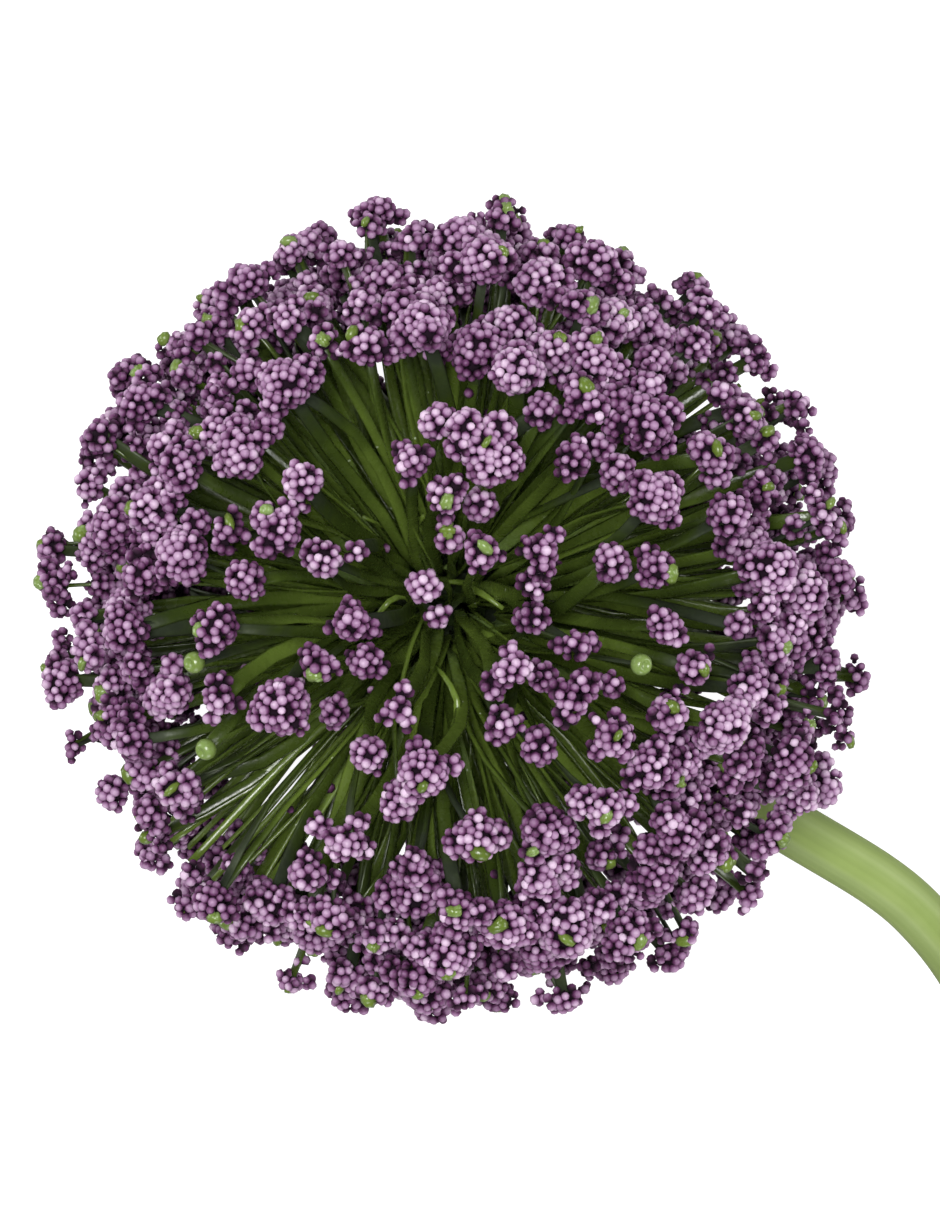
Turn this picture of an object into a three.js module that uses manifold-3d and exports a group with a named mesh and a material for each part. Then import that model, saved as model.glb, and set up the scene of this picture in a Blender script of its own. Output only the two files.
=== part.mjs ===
/**
 * Allium flower head, laid down: a ball of bead-coated florets on moulded green pedicels,
 * set round a receptacle at the top of a cut, curved stem.
 *
 * The pedicels are moulded in sprays. Each spray has one foot, seated on the receptacle, and
 * each of its pedicels ends in a floret. The head rests on its lowest florets and on the cut
 * end of the stem.
 *
 * Millimetres, +Z up. The origin is the middle of the whole footprint, on the surface that
 * the flower head lies on. Until the last step, places are measured from the hub, which is
 * the centre of the receptacle and of the ball.
 */
import * as THREE from 'three';
import { mergeVertices } from 'three/addons/utils/BufferGeometryUtils.js';
import Module from 'manifold-3d';

const wasm = await Module();
wasm.setup();

// ---------------------------------------------------------------- driving dimensions

const HEAD_RADIUS = 60; // hub to the outermost floret tips
const FIT_GAP = 0.35; // clearance between two solids that touch in the real thing

const RECEPTACLE_RADIUS = 7.5;
const NECK_RADIUS = 3.6; // the receptacle's neck, which meets the stem
const NECK_REACH = 8.6;

const STEM_RADIUS = 4;
const STEM_BEARING = -33; // degrees round from +X, seen from above
const STEM_DIP = 16; // degrees below level, where the stem leaves the hub
const STEM_STRAIGHT = 56; // straight as far as this from the hub

const SPRAY_COUNT = 57;
const FOOT_RADIUS = 1.4;
const FOOT_LENGTH = 2;
const FOOT_SINK = 0.3; // how deep the pedicels start below the foot's face
const FOOT_RING = 5; // a spray with more pedicels than this has one in the middle
const FOOT_RING_RADIUS = 0.8;
const FOOT_REACH = RECEPTACLE_RADIUS + FIT_GAP; // hub to the underside of the feet
const START_REACH = FOOT_REACH + FOOT_LENGTH - FOOT_SINK;
const PEDICEL_RADIUS = 0.36;
const FOOT_SPREAD = 130; // degrees from the crown to the last feet, clear of the stem
const CROWN_SPREAD = 171; // degrees from the crown to the last florets

const SEEDED_COUNT = 600; // florets if the seeded ones covered the whole ball
const SEEDED_REACH = [47.5, 56];
const SEEDED_RADIUS = [2.9, 4.5];
const SEEDED_JITTER = 3.2;
const THIN_BELOW = -22; // lower than this from the hub, a share of the florets is left out
const THIN_SHARE = 0.2;
const FACE_ZONE = 33; // plan radius of the thin area on top, where the florets are listed
const STEM_ZONE = 10; // degrees round the stem with no florets
const LEAST_SPACING = 7;
const RELAX_STEPS = 60;

// The stem's bend after its straight run, from the hub: it turns, comes down and ends flat.
const STEM_BEND = [
  [61, -39, -23],
  [69, -46, -29],
  [75.5, -54.5, -36.5],
  [80.5, -64.5, -44.5],
  [84, -75.5, -51],
  [86.5, -87, -54.9],
  [88, -98, STEM_RADIUS - HEAD_RADIUS],
];

// Florets of the thin area on top: across, up, distance from the hub, radius.
const FACE_FLORETS = [
  [3.5, 7.5, 54, 2.6],
  [11, 7, 53, 3.2],
  [10.3, 3.6, 50, 1.9],
  [-4, 3.1, 49, 2.2],
  [-2, -0.7, 42, 1.6],
  [-7, -12.5, 53, 2.7],
  [-1.5, 14.2, 51, 3.1],
  [-0.8, 10.2, 48, 1.9],
  [3.5, 21, 55, 4.5],
  [-2, 24.6, 52, 2.2],
  [3.5, 13.7, 44, 2.2],
  [-5.2, 18.8, 53, 2.8],
  [-4, -20.5, 54, 3.9],
  [-11, -18.5, 53, 2.6],
  [-7.3, -24.8, 49, 2.4],
  [8, -7.2, 54, 3.1],
  [5, -9.5, 50, 1.8],
  [-13, -1.6, 53, 2.9],
  [-11.5, -6.4, 50, 2.7],
  [-21.8, -12, 54, 4.2],
  [-17.3, -7.2, 53, 3],
  [-15.5, -13, 46, 2.7],
  [15.5, -4.8, 53, 2.9],
  [14.8, -11, 54, 3.5],
  [11.4, -8.3, 50, 1.9],
  [6.8, -14.8, 50, 2.8],
  [10.6, -17.2, 51, 2.3],
  [20.2, -16.2, 54, 3.2],
  [10, -1, 45, 2.1],
  [27, -2, 53, 3],
  [20.7, 6.2, 51, 2.3],
  [25.7, 5.4, 53, 2.9],
  [25.6, 14.8, 54, 3.7],
  [21.4, 17.6, 51, 2.3],
  [15.2, 19.4, 54, 2.8],
  [18.6, 21.4, 51, 1.9],
  [8, 31, 52, 3.6],
  [11.5, 26, 50, 2.1],
  [16.5, 28, 54, 3.6],
  [24.8, 24.4, 55, 4.2],
  [26, 32.5, 51, 3],
  [-22, 29.5, 54, 4.3],
  [-17.2, 35, 51, 2.8],
  [-27.5, 20.8, 54, 4],
  [-19.5, 16.5, 53, 2.9],
  [-21.8, 9.8, 53, 3.4],
  [-17.2, 7.2, 51, 2.4],
  [-13.2, 7.4, 50, 1.6],
  [-27, 3.8, 51, 2.5],
  [-30.5, -2.2, 54, 3.5],
  [-34, -6.8, 53, 1.4],
  [-30.5, -11.5, 54, 3],
  [-32.6, -18.2, 53, 1.4],
  [20.2, -9.4, 51, 1.8],
  [24.2, -7, 52, 1.4],
  [27.8, -13.4, 53, 3.2],
  [25.4, -20.2, 54, 3.7],
  [31, -7.4, 53, 3],
  [19, -25.5, 55, 3.9],
  [12, -28.4, 54, 3.8],
  [2.8, -29.4, 54, 3.7],
  [-13.8, -30, 54, 3.5],
  [-5, -33.5, 52, 3.2],
  [-3, 36.5, 53, 4.2],
  [-11, 34.5, 54, 3.3],
  [-30, 10, 51, 3],
  [36, 12.5, 54, 3.4],
  [34, 20, 54, 3.8],
];

// Florets that stand out round the rim: bearing in degrees, distance from the hub, radius.
const RIM_FLORETS = [
  [101.5, 57, 3.2],
  [83.5, 56.7, 3],
  [74, 53.5, 3.9],
  [64.5, 53, 3.6],
  [53.5, 56, 4],
  [40.5, 54, 3.8],
  [31.5, 54.2, 3.5],
  [21.5, 54.8, 3.8],
  [12, 54.5, 3.6],
  [2, 54.5, 3.6],
  [-9.5, 57, 3],
  [-17.5, 56.5, 3],
  [-24, 54, 3.4],
  [-44, 56.5, 3.2],
  [-56.5, 57, 3],
  [-65, 53, 3.8],
  [-74, 57, 3],
  [-84, 53.5, 3.6],
  [-93.5, 55.5, 4],
  [-104.5, 54.5, 4],
  [-114, 57, 3],
  [-125, 54, 3.6],
  [-140, 54.2, 3.6],
  [-152, 53.5, 3.6],
  [-160.5, 56.8, 3],
  [-173, 55.2, 3.6],
  [170.5, 57, 3.1],
  [161, 53, 3.5],
  [145, 56.8, 3],
  [136, 53, 3.6],
  [128, 54.5, 3.6],
  [114.5, 54, 4],
];
const RIM_WAVE = 5; // how far the rim's florets stand above and below the hub in turn

// The florets that the head rests on: bearing, slant from straight down, radius.
const RESTING_FLORETS = [
  [15, 17, 3.4],
  [85, 20, 3.2],
  [160, 18, 3.5],
  [232, 21, 3.3],
  [300, 18, 3.4],
];

// Bare windows through the ball: across, up, radius above the hub, radius below it.
const WINDOWS = [
  [-24, -26, 9, 5.5],
  [-34, -30, 5, 4],
  [33, 31, 4, 4],
];

const COLOURS = {
  stem: { color: 0x94a567, roughness: 0.45, metalness: 0 },
  receptacle: { color: 0x2a3a12, roughness: 0.5, metalness: 0 },
  spray: { color: 0x785a76, roughness: 0.7, metalness: 0 },
};

// ---------------------------------------------------------------- helpers

const UP = new THREE.Vector3(0, 1, 0);
const GOLDEN_ANGLE = Math.PI * (3 - Math.sqrt(5));
const radians = THREE.MathUtils.degToRad;

/** Returns a repeatable source of numbers from 0 to 1. */
function seededRandom(seed) {
  let state = seed;
  return () => {
    state = (Math.imul(state, 1664525) + 1013904223) >>> 0;
    return state / 2 ** 32;
  };
}

/** A vector of the given length, at a bearing from +X and a climb above level, in degrees. */
function polar(bearing, climb, length) {
  const level = Math.cos(radians(climb)) * length;
  return new THREE.Vector3(
    level * Math.cos(radians(bearing)),
    level * Math.sin(radians(bearing)),
    Math.sin(radians(climb)) * length,
  );
}

/** Turns a closed three.js geometry into a solid that can be joined to others. */
function solidFrom(geometry) {
  geometry.deleteAttribute('normal');
  geometry.deleteAttribute('uv');
  const merged = mergeVertices(geometry);
  const corners = merged.index.array;
  const kept = [];
  for (let i = 0; i < corners.length; i += 3) {
    const [a, b, c] = corners.slice(i, i + 3);
    if (a !== b && b !== c && c !== a) {
      kept.push(a, b, c);
    }
  }
  return new wasm.Manifold(new wasm.Mesh({
    numProp: 3,
    vertProperties: new Float32Array(merged.attributes.position.array),
    triVerts: new Uint32Array(kept),
  }));
}

/** Turns a solid back into a geometry. */
function geometryFrom(solid) {
  const { vertProperties, triVerts } = solid.getMesh();
  const geometry = new THREE.BufferGeometry();
  geometry.setAttribute('position', new THREE.BufferAttribute(vertProperties, 3));
  geometry.setIndex(new THREE.BufferAttribute(triVerts, 1));
  geometry.computeVertexNormals();
  return geometry;
}

/** A solid of revolution whose profile is [radius, height] pairs, set along a direction. */
function turned(profile, sides, start, direction) {
  const points = profile.map(([radius, height]) => new THREE.Vector2(radius, height));
  const geometry = new THREE.LatheGeometry(points, sides);
  geometry.applyQuaternion(new THREE.Quaternion().setFromUnitVectors(UP, direction));
  geometry.translate(start.x, start.y, start.z);
  return geometry;
}

/** A mesh with its node's name and its own material. */
function named(name, geometry, colours) {
  const mesh = new THREE.Mesh(geometry, new THREE.MeshStandardMaterial(colours));
  mesh.name = name;
  return mesh;
}

// ---------------------------------------------------------------- stem and receptacle

const stemDirection = polar(STEM_BEARING, -STEM_DIP, 1);
const crownDirection = stemDirection.clone().negate();

/** The stem's centre line: straight out of the head, then bent down to the surface. */
function stemCurve() {
  const start = NECK_REACH + FIT_GAP;
  const straight = [start, (start + STEM_STRAIGHT) / 2, STEM_STRAIGHT];
  return new THREE.CatmullRomCurve3([
    ...straight.map((distance) => stemDirection.clone().multiplyScalar(distance)),
    ...STEM_BEND.map((place) => new THREE.Vector3(...place)),
  ]);
}

function makeStem() {
  const section = new THREE.Shape();
  section.absarc(0, 0, STEM_RADIUS, 0, 2 * Math.PI, false);
  const geometry = new THREE.ExtrudeGeometry(section, {
    extrudePath: stemCurve(),
    steps: 32,
    curveSegments: 6,
    bevelEnabled: false,
  });
  return named('stem', geometryFrom(solidFrom(geometry)), COLOURS.stem);
}

function makeReceptacle() {
  const profile = [[0, -NECK_REACH], [NECK_RADIUS, -NECK_REACH]];
  const neckAngle = Math.asin(NECK_RADIUS / RECEPTACLE_RADIUS);
  const rings = 7;
  for (let i = 0; i <= rings; i += 1) {
    const angle = THREE.MathUtils.lerp(neckAngle, Math.PI, i / rings);
    const radius = i === rings ? 0 : RECEPTACLE_RADIUS * Math.sin(angle);
    profile.push([radius, -RECEPTACLE_RADIUS * Math.cos(angle)]);
  }
  const geometry = turned(profile, 16, new THREE.Vector3(), crownDirection);
  return named('receptacle', geometryFrom(solidFrom(geometry)), COLOURS.receptacle);
}

// ---------------------------------------------------------------- where the florets are

/** A floret: the centre of its cluster, the cluster's radius, and whether it may be moved. */
function floret(place, radius, fixed = false) {
  return { place, radius, fixed };
}

function faceFlorets() {
  return FACE_FLORETS.map(([across, up, reach, radius]) => {
    const height = Math.sqrt(reach ** 2 - across ** 2 - up ** 2);
    return floret(new THREE.Vector3(across, up, height), radius);
  });
}

function rimFlorets() {
  return RIM_FLORETS.map(([bearing, reach, radius], i) => {
    const height = i % 2 ? RIM_WAVE : -RIM_WAVE;
    const climb = THREE.MathUtils.radToDeg(Math.asin(height / reach));
    return floret(polar(bearing, climb, reach), radius);
  });
}

/** These reach just far enough for their tips to touch the surface. */
function restingFlorets() {
  return RESTING_FLORETS.map(([bearing, slant, radius]) => {
    const reach = HEAD_RADIUS / Math.cos(radians(slant)) - radius;
    return floret(polar(bearing, slant - 90, reach), radius, true);
  });
}

/** Whether a place lies over one of the bare windows or in the area listed by hand. */
function isLeftClear(place) {
  const listed = place.z > 0 && Math.hypot(place.x, place.y) < FACE_ZONE;
  const windowed = WINDOWS.some(([across, up, above, below]) => (
    Math.hypot(place.x - across, place.y - up) < (place.z > 0 ? above : below)
  ));
  return listed || windowed || place.angleTo(stemDirection) < radians(STEM_ZONE);
}

/** Spreads florets evenly over the rest of the ball, then shakes them a little. */
function seededFlorets(placed) {
  const random = seededRandom(20);
  const between = ([low, high]) => THREE.MathUtils.lerp(low, high, random());
  const florets = [];
  for (let i = 0; i < SEEDED_COUNT; i += 1) {
    const height = 1 - (2 * (i + 0.5)) / SEEDED_COUNT;
    const level = Math.sqrt(1 - height ** 2);
    const turn = i * GOLDEN_ANGLE;
    const place = new THREE.Vector3(level * Math.cos(turn), level * Math.sin(turn), height);
    place.multiplyScalar(between(SEEDED_REACH));
    place.x += (random() - 0.5) * SEEDED_JITTER;
    place.y += (random() - 0.5) * SEEDED_JITTER;
    place.z += (random() - 0.5) * SEEDED_JITTER;
    const radius = between(SEEDED_RADIUS);
    const crowded = placed.some((other) => other.place.distanceTo(place) < LEAST_SPACING);
    const thinned = random() < THIN_SHARE && place.z < THIN_BELOW;
    if (!crowded && !thinned && !isLeftClear(place)) {
      florets.push(floret(place, radius));
    }
  }
  return florets;
}

/** The sprays' feet and the middles of the cells of florets that they serve. */
function sprayPlan() {
  const tilt = new THREE.Quaternion().setFromUnitVectors(new THREE.Vector3(0, 0, 1), crownDirection);
  const onSphere = (share, spread, turn) => {
    const height = 1 - share * (1 - Math.cos(radians(spread)));
    const level = Math.sqrt(1 - height ** 2);
    const place = new THREE.Vector3(level * Math.cos(turn), level * Math.sin(turn), height);
    return place.applyQuaternion(tilt);
  };
  return Array.from({ length: SPRAY_COUNT }, (_, i) => {
    const share = (i + 0.5) / SPRAY_COUNT;
    return {
      foot: onSphere(share, FOOT_SPREAD, i * GOLDEN_ANGLE),
      cell: onSphere(share, CROWN_SPREAD, i * GOLDEN_ANGLE),
      florets: [],
    };
  });
}

/** Gives each floret to the spray whose cell it is nearest to. */
function shareOut(florets, sprays) {
  for (const item of florets) {
    const direction = item.place.clone().normalize();
    item.spray = sprays.reduce((best, spray) => (
      spray.cell.dot(direction) > best.cell.dot(direction) ? spray : best
    ));
    item.spray.florets.push(item);
  }
}

/** Starts a spray's pedicels evenly round the face of its foot, in the order they lean in. */
function startPedicels({ foot, florets }) {
  const across = new THREE.Vector3(0, 0, 1).cross(foot).normalize();
  const along = foot.clone().cross(across);
  const leans = florets.map((item) => item.place.clone().normalize());
  const middle = leans.reduce((sum, lean) => sum.add(lean), new THREE.Vector3());
  middle.divideScalar(florets.length);
  florets.forEach((item, i) => {
    const lean = leans[i].sub(middle);
    item.lean = lean.length();
    item.bearing = Math.atan2(lean.dot(along), lean.dot(across));
    item.start = foot.clone().multiplyScalar(START_REACH);
  });
  const ring = florets.toSorted((a, b) => a.lean - b.lean);
  if (ring.length > FOOT_RING) {
    ring.shift();
  }
  ring.sort((a, b) => a.bearing - b.bearing);
  const step = (2 * Math.PI) / ring.length;
  const offset = (turn) => ring.reduce((sum, { bearing }, i) => sum + turn(bearing - i * step), 0);
  const twist = Math.atan2(offset(Math.sin), offset(Math.cos));
  ring.forEach(({ start }, i) => {
    start.addScaledVector(across, FOOT_RING_RADIUS * Math.cos(twist + i * step));
    start.addScaledVector(along, FOOT_RING_RADIUS * Math.sin(twist + i * step));
  });
}

/** Moves a point off another until they are a distance apart, unless it is fixed. */
function pushOff(item, other, distance, share) {
  const away = item.place.clone().sub(other);
  const lack = distance - away.length();
  if (lack > 0 && !item.fixed) {
    item.place.addScaledVector(away.normalize(), lack * share);
  }
}

/** Settles the florets clear of each other, of the pedicels beside them and of the stem. */
function relax(florets) {
  const stemLine = new THREE.Line3(new THREE.Vector3(), stemDirection.clone().multiplyScalar(90));
  const nearest = new THREE.Vector3();
  for (let step = 0; step < RELAX_STEPS; step += 1) {
    for (const item of florets) {
      const pedicel = new THREE.Line3(item.start, item.place);
      for (const other of florets) {
        if (other === item) {
          continue;
        }
        pushOff(item, other.place, item.radius + other.radius + FIT_GAP, 0.5);
        pedicel.closestPointToPoint(other.place, true, nearest);
        pushOff(other, nearest, other.radius + 2 * PEDICEL_RADIUS + FIT_GAP, 0.5);
      }
      stemLine.closestPointToPoint(item.place, true, nearest);
      pushOff(item, nearest, STEM_RADIUS + item.radius + 2 * FIT_GAP, 1);
      const longest = HEAD_RADIUS - item.radius;
      if (!item.fixed && item.place.length() > longest) {
        item.place.setLength(longest);
      }
    }
  }
}

// ---------------------------------------------------------------- sprays

/** One pedicel with its floret: a four-sided stalk that opens into a rounded head. */
function makePedicel({ place, radius, start }) {
  const direction = place.clone().sub(start);
  const length = direction.length();
  direction.normalize();
  const profile = [
    [0, 0],
    [PEDICEL_RADIUS, 0],
    [PEDICEL_RADIUS, length - radius],
    [radius, length],
    [0, length + radius],
  ];
  return solidFrom(turned(profile, 4, start, direction));
}

/** The block that a spray's pedicels grow from. */
function makeFoot(spray) {
  const profile = [
    [0, 0],
    [FOOT_RADIUS, 0],
    [FOOT_RADIUS, FOOT_LENGTH],
    [0, FOOT_LENGTH],
  ];
  const start = spray.foot.clone().multiplyScalar(FOOT_REACH);
  return solidFrom(turned(profile, 8, start, spray.foot));
}

function makeSpray(spray, name) {
  const joined = spray.florets.reduce(
    (solid, item) => solid.add(makePedicel(item)),
    makeFoot(spray),
  );
  return named(name, geometryFrom(joined), COLOURS.spray);
}

/** The tier that a spray belongs to, from the crown round to the stem. */
function tierOf(spray) {
  const angle = THREE.MathUtils.radToDeg(spray.cell.angleTo(crownDirection));
  const tiers = [['crown', 40], ['shoulder', 75], ['belt', 105], ['skirt', 140], ['collar', 180]];
  return tiers.find(([, limit]) => angle <= limit)[0];
}

function makeSprays() {
  const listed = [...faceFlorets(), ...rimFlorets(), ...restingFlorets()];
  const florets = [...listed, ...seededFlorets(listed)];
  const sprays = sprayPlan();
  shareOut(florets, sprays);
  const grown = sprays.filter((spray) => spray.florets.length > 0);
  grown.forEach(startPedicels);
  relax(florets);
  const counts = {};
  return grown.map((spray) => {
    const tier = tierOf(spray);
    counts[tier] = (counts[tier] ?? 0) + 1;
    return makeSpray(spray, `${tier}_spray_${String(counts[tier]).padStart(2, '0')}`);
  });
}

// ---------------------------------------------------------------- the whole flower head

const group = new THREE.Group();
group.add(makeStem(), makeReceptacle(), ...makeSprays());

// The head's footprint is centred on the origin, and its lowest florets touch z = 0.
const bounds = new THREE.Box3().setFromObject(group);
const middle = bounds.getCenter(new THREE.Vector3());
group.position.set(-middle.x, -middle.y, -bounds.min.z);
group.updateMatrixWorld(true);

export default group;
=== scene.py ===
"""Allium flower head, laid down, with its cut stem beside it.

Bead-coated florets stand on glossy green pedicels, which are moulded in sprays. Each spray has
one foot on the receptacle, at the top of the stem. Metres, +Z up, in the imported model's frame.
"""

import math
import random

import bmesh
import bpy
from mathutils import Matrix, Quaternion, Vector


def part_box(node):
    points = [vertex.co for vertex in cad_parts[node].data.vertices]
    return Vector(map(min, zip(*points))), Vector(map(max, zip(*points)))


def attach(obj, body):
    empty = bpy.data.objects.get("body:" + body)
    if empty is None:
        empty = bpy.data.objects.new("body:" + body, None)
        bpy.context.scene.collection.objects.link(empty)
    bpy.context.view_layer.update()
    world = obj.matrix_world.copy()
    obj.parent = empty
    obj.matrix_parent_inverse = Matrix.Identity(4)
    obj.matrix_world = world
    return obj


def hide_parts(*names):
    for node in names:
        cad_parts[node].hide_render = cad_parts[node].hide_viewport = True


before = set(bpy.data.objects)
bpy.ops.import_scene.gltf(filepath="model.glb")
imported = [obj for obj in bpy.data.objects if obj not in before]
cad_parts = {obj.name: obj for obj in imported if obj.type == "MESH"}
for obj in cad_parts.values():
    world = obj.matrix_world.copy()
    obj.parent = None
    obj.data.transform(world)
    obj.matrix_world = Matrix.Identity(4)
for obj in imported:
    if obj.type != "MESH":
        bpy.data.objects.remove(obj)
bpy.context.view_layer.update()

# ---------------------------------------------------------------- sizes

MM = 0.001
GOLDEN_ANGLE = math.pi * (3 - math.sqrt(5))
UP = Vector((0, 0, 1))

RECEPTACLE_RADIUS = 7.5 * MM
NECK_RADIUS = 3.6 * MM
NECK_REACH = 8.6 * MM
FOOT_REACH = 7.85 * MM  # hub to the underside of the feet
FOOT_RADIUS = 1.4 * MM
FOOT_LENGTH = 2 * MM
START_REACH = 9.55 * MM  # hub to where the pedicels start, inside their foot

STEM_BEARING = math.radians(-33)
STEM_DIP = math.radians(16)
STEM_RADIUS = 4 * MM
STEM_STARTS = (8.95 * MM, 32.475 * MM, 56 * MM)  # the straight run, measured from the hub
STEM_BEND = (
    (61, -39, -23),
    (69, -46, -29),
    (75.5, -54.5, -36.5),
    (80.5, -64.5, -44.5),
    (84, -75.5, -51),
    (86.5, -87, -54.9),
    (88, -98, -56),
)

CAMERA_PLACE = Vector((1.95, 0.45, 650)) * MM  # from the hub
CAMERA_LENS = 138.1
FLOOR_HALF = 8  # metres from the middle of the floor to its edge
# How bright the surroundings are for the light that they give, and as the camera sees them.
BACKDROP_LEVELS = (0.03, 0.93)
FLOOR_LEVELS = (0.012, 0.91)
FLOOR_GREY = 0.38

# Each light's name, place in metres from the hub, size and power.
LIGHTS = (
    ("overhead", (-0.05, 0.02, 0.75), 0.27, 6.4),
    ("left", (-0.75, 0.2, 0.13), 0.35, 2.6),
    ("right", (0.75, 0.05, 0.15), 0.35, 2.6),
    ("front", (0.1, -0.8, 0.12), 0.35, 2.3),
    ("back", (-0.1, 0.8, 0.13), 0.35, 1.3),
)

BEAD_SIZE = 1.4 * MM
BEAD_PITCH = 1.16 * MM  # beads are pressed together a little
BEAD_PACKING = 1.16  # beads on a lobe for each square pitch of its surface
# Each pass over a floret: how many beads it tries, and the least spacing for one pitch.
BEAD_PASSES = ((BEAD_PACKING, 0.86), (BEAD_PACKING * 2.5, 0.82))
BEAD_SPREAD = (0.84, 1.15)  # the smallest and largest bead, for one of the usual size
UPPER_RING = math.radians(47)  # how far round from a bead's outer end its rings of points lie
LOWER_RING = math.radians(98)
FLORET_TINTS = (0.3, 0.49)
BEAD_TINTS = (0.08, 0.7)
TINT_SPREAD = 0.09  # how far the tints of one floret's beads scatter
FROSTED_TINT = 0.95
CORE_SHADE_TINT = -0.4  # the near-black balls that close the gaps between the beads, as painted shade
BEAD_SHADING = 0.42  # painted highlight and shade on each bead: how much paler a bead is on its outer side than half-way in, and darker on its inner side
INWARD_SHADING = 0.12  # painted shade: beads that face the hub are this much darker than those half-way round
OUTWARD_LEVEL = 0.55  # beads facing out this squarely keep their floret's tint; less gets painted shade, more painted light
KNOB_RADIUS = 1.5 * MM  # a floret no bigger than this is a bare green knob
SMALL_FLORET = 2.55 * MM
BIG_FLORET = 3.2 * MM
LOBED_SPREAD = 1.31  # how far the lobes of a floret reach, for its solid's radius
SPREAD_LOSSES = ((25 * MM, 0.004 / MM), (45 * MM, 0.021 / MM))  # further out they reach less far
SMALL_SPREAD = 1.1
# The radii of a floret's lobes, for its spread.
MAIN_LOBE_SIZES = (0.54, 0.74)
LOBE_SIZES = (0.32, 0.52)
SIDE_LOBE_SIZES = (0.38, 0.48)
BACK_LOBE_SIZES = (0.44, 0.56)
SIDE_LOBE_FROM = 33 * MM  # further out than this, a floret may have one more lobe beside it
SIDE_LOBE_SHARE = 0.55
# Lobes round the pedicel: how far out a floret has each, and how far back it is, for its spread.
BACK_LOBES = ((46.5 * MM, 1), (51.5 * MM, 1.75))
BEADED_TO = math.radians(134)  # how far round from its tip a floret's beads go
NUB_SHARE = 0.45
STRAY_SHARE = 0.16
FROSTED_SHARE = 0.004
NUB_SIZES = (0.8 * MM, 1.3 * MM)
NUB_TONES = (0.56, 0.82)
KNOB_TONE = 0.82
# A knob's outline with its dimple, for a radius of one: out from its axis, and along it.
KNOB_PROFILE = (
    (0, -0.95), (0.45, -0.82), (0.85, -0.45), (1, 0), (0.93, 0.4), (0.68, 0.72), (0.5, 0.78),
    (0.38, 0.7), (0.28, 0.6), (0, 0.56),
)

STRAP_SIDES = 8
STRAP_CHANNEL = 0.72  # a strap's thickness down its middle, for its full thickness
STRAP_START_WIDTH = 0.62  # a strap's width where it starts, for its full width
BLADE_THICKNESS = 0.7 * MM
THIN_BLADE_THICKNESS = 0.6 * MM
STRAP_STEPS = 6
LONG_STRAP_STEPS = 18
PEDICEL_BOWS = (0.4, 2.8)  # how far a floret's own strap bows to a side, in millimetres
SECOND_BOWS = (2, 4.5)
PEDICEL_SWAY = 1.4 * MM
PEDICEL_TWIST = 1.3
PEDICEL_WIDTHS = (1.5, 2.4)  # in millimetres
PEDICEL_THICKNESSES = (0.55, 0.8)
PEDICEL_TONES = (-0.42, 0.1)  # some are much darker than their neighbours
SECOND_STRAP_SHARE = 0.45  # florets with another strap beside their own
SHOOT_COUNT = 46  # short bare shoots on the receptacle
SHOOT_LENGTHS = (7, 17)  # in millimetres
STEM_CLEARANCE = 0.7  # radians round the stem with no shoots
ROOT_REACH = RECEPTACLE_RADIUS - 0.5 * MM  # hub to where blades and shoots start
STEM_SIDES = 64
STEM_STEPS = 110
STEM_SWELL = 0.26 * MM  # how much thicker in radius the stem is at its cut

# Bare blades round the hub, each with its width and its route from the hub.
BARE_BLADES = (
    (1.7, ((1.2, -8, 5), (0, -15, 14), (-1.6, -19.6, 23), (-0.3, -16, 29.5), (0.4, -13, 31),
           (-0.7, -9.8, 30), (-2.6, -7.4, 27))),
    (1.2, ((-4, 1, 7), (-5.6, 1.4, 20), (-8.2, 1.7, 27), (-10.2, -0.4, 27), (-11, -3.4, 22))),
    (1.7, ((0.5, 1.5, 8), (1.6, 2.8, 20), (3.4, 2.4, 26), (6.4, 0.3, 27))),
    (1.6, ((-3.6, 4, 7), (-5.2, 6.6, 18), (-5.8, 10, 27), (-4.2, 12.6, 34))),
    (2.3, ((1.4, -1.8, 8), (2.6, -2.8, 20), (4.4, -3.2, 24), (7, -4.8, 24))),
    (2.6, ((-0.8, -3, 8), (-2.6, -6.6, 20), (-4.8, -12.4, 29), (-6, -18.6, 34))),
    (1.2, ((3.8, 3.2, 7), (2.9, 3.4, 19), (-0.6, 3.9, 26), (-4.6, 3.1, 27))),
    (1.9, ((1.6, -3.4, 7), (0.2, -4.6, 20), (2.4, -6.4, 29), (5.2, -9, 36))),
    (1.2, ((-2.6, -0.8, 8), (-3.8, -0.2, 20), (-5.8, -4.4, 30), (-7.2, -10.4, 38))),
    (1.8, ((-4.4, 3.4, 6), (-8, 5.6, 16), (-12, 6.2, 25), (-18, 6.4, 33))),
    (2.7, ((5, -5, 3), (17, -16, 13), (27, -25.5, 19), (35.5, -33, 20))),
)

# Long thin blades across the open windows at lower left and upper right, with their bearing
# and climb in degrees.
FAN_BLADES = (
    (211, 6), (214, -6), (216.5, 12), (219, 1), (221.5, -8), (223.5, 8), (225.5, -1), (228, 13),
    (230, 3), (232.5, -7), (235, 9), (239, 0), (215, -15), (220, -18), (224.5, -14), (229, -17),
    (36.5, -9), (38.5, -4), (40.5, -12), (42.5, -7), (44.5, -14), (46.5, -5),
)
FAN_REACH = 51 * MM

lowest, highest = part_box("receptacle")
HUB = Vector((lowest.x, highest.y, highest.z)) + Vector((1, -1, -1)) * RECEPTACLE_RADIUS
STEM_DIRECTION = Vector((
    math.cos(STEM_DIP) * math.cos(STEM_BEARING),
    math.cos(STEM_DIP) * math.sin(STEM_BEARING),
    -math.sin(STEM_DIP),
))

# ---------------------------------------------------------------- camera, lights and floor


def add_camera():
    """The camera looks straight down on the head, with +Y at the top of the view."""
    camera = bpy.data.cameras.new("camera")
    camera.sensor_width = 36
    camera.lens = CAMERA_LENS
    camera.clip_start = 0.05
    camera.clip_end = 30
    holder = bpy.data.objects.new("camera", camera)
    holder.location = HUB + CAMERA_PLACE
    bpy.context.scene.collection.objects.link(holder)
    bpy.context.scene.camera = holder


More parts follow.
